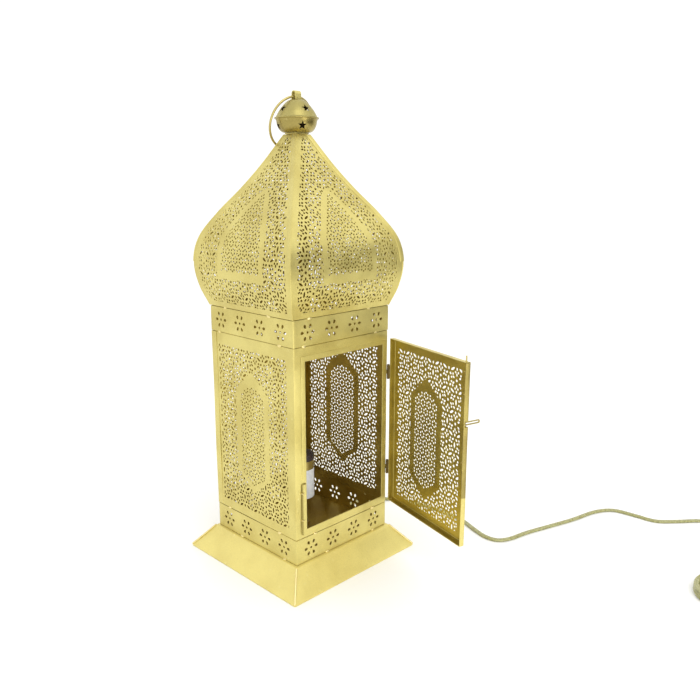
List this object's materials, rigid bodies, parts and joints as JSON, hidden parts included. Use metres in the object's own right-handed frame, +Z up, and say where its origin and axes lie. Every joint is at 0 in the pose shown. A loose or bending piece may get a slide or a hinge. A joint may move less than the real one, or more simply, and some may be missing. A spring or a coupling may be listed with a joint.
{
  "type": "moroccan metal lantern",
  "caption": "Square sheet-metal table lantern with an onion dome, a hinged and latched door, a carry ring, a small lampholder and a mains cord with its plug.",
  "frame": {"origin": "on the lantern's upright axis, at the bottom of its foot", "axes": "+Z up, -Y out of the doorway, +X towards the door's hinge side"},
  "size_m": [0.5149, 0.536, 0.5194],
  "materials": {
    "gold_sheet": "satin",
    "gold_wire": "satin",
    "plated_steel": "satin",
    "brass": "satin",
    "dark_plastic": "matt",
    "white_sleeve": "matt",
    "clear_gold_cord": "gloss",
    "plug_plastic": "satin"
  },
  "bodies": {
    "lantern": {"foot_skirt": "gold_sheet", "floor_plate": "gold_sheet", "lower_band_front": "gold_sheet", "lower_band_back": "gold_sheet", "lower_band_left": "gold_sheet", "lower_band_right": "gold_sheet", "upper_band_front": "gold_sheet", "upper_band_back": "gold_sheet", "upper_band_left": "gold_sheet", "upper_band_right": "gold_sheet", "left_wall": "gold_sheet", "right_wall": "gold_sheet", "back_wall": "gold_sheet", "left_jamb": "gold_sheet", "right_jamb": "gold_sheet", "front_rail_top": "gold_sheet", "front_rail_bottom": "gold_sheet", "rear_corner_left": "gold_sheet", "rear_corner_right": "gold_sheet", "dome_panel_front": "gold_sheet", "dome_panel_right": "gold_sheet", "dome_panel_back": "gold_sheet", "dome_panel_left": "gold_sheet", "neck_plate": "gold_sheet", "finial_bowl": "gold_sheet", "finial_cap": "gold_sheet", "hanging_strap": "gold_sheet", "catch_wire": "gold_wire", "catch_staple_upper": "gold_wire", "catch_staple_lower": "gold_wire", "base_cover": "plated_steel", "finial_bolt": "plated_steel", "finial_nut": "plated_steel", "hinge_frame_leaf_upper": "plated_steel", "hinge_frame_leaf_lower": "plated_steel", "hinge_pin_upper": "plated_steel", "hinge_pin_lower": "plated_steel", "lampholder_stem": "brass", "stem_nut_upper": "brass", "stem_nut_lower": "brass", "lampholder_ring": "brass", "lampholder_contact": "brass", "plug_pin_1": "brass", "plug_pin_2": "brass", "lampholder_body": "dark_plastic", "lampholder_sleeve": "white_sleeve", "cord_bushing": "clear_gold_cord", "inner_lead": "clear_gold_cord", "cord_run": "clear_gold_cord", "cord_tail": "clear_gold_cord", "cord_coil": "clear_gold_cord", "plug_body": "plug_plastic"},
    "door": {"door_pan": "gold_sheet", "hinge_door_leaf_upper": "plated_steel", "hinge_door_leaf_lower": "plated_steel", "latch_staple_1": "gold_wire", "latch_staple_2": "gold_wire", "latch_staple_3": "gold_wire"},
    "latch": {"latch_wire": "gold_wire"},
    "ring": {"carry_ring": "gold_wire"}
  },
  "joints": [
    {"name": "door_hinge", "type": "hinge", "parent": "lantern", "child": "door", "pos_m": [0.0719, -0.07, 0.1581], "axis": [0, 0, 1], "range_deg": [-75, 105]},
    {"name": "latch_turn", "type": "hinge", "parent": "door", "child": "latch", "pos_m": [0.04051, -0.1999, 0.1911], "axis": [0, 0, 1], "range_deg": [-90, 0]},
    {"name": "ring_swing", "type": "hinge", "parent": "lantern", "child": "ring", "pos_m": [0, 0, 0.5135], "axis": [1, 0, 0], "range_deg": [0, 319]}
  ]
}
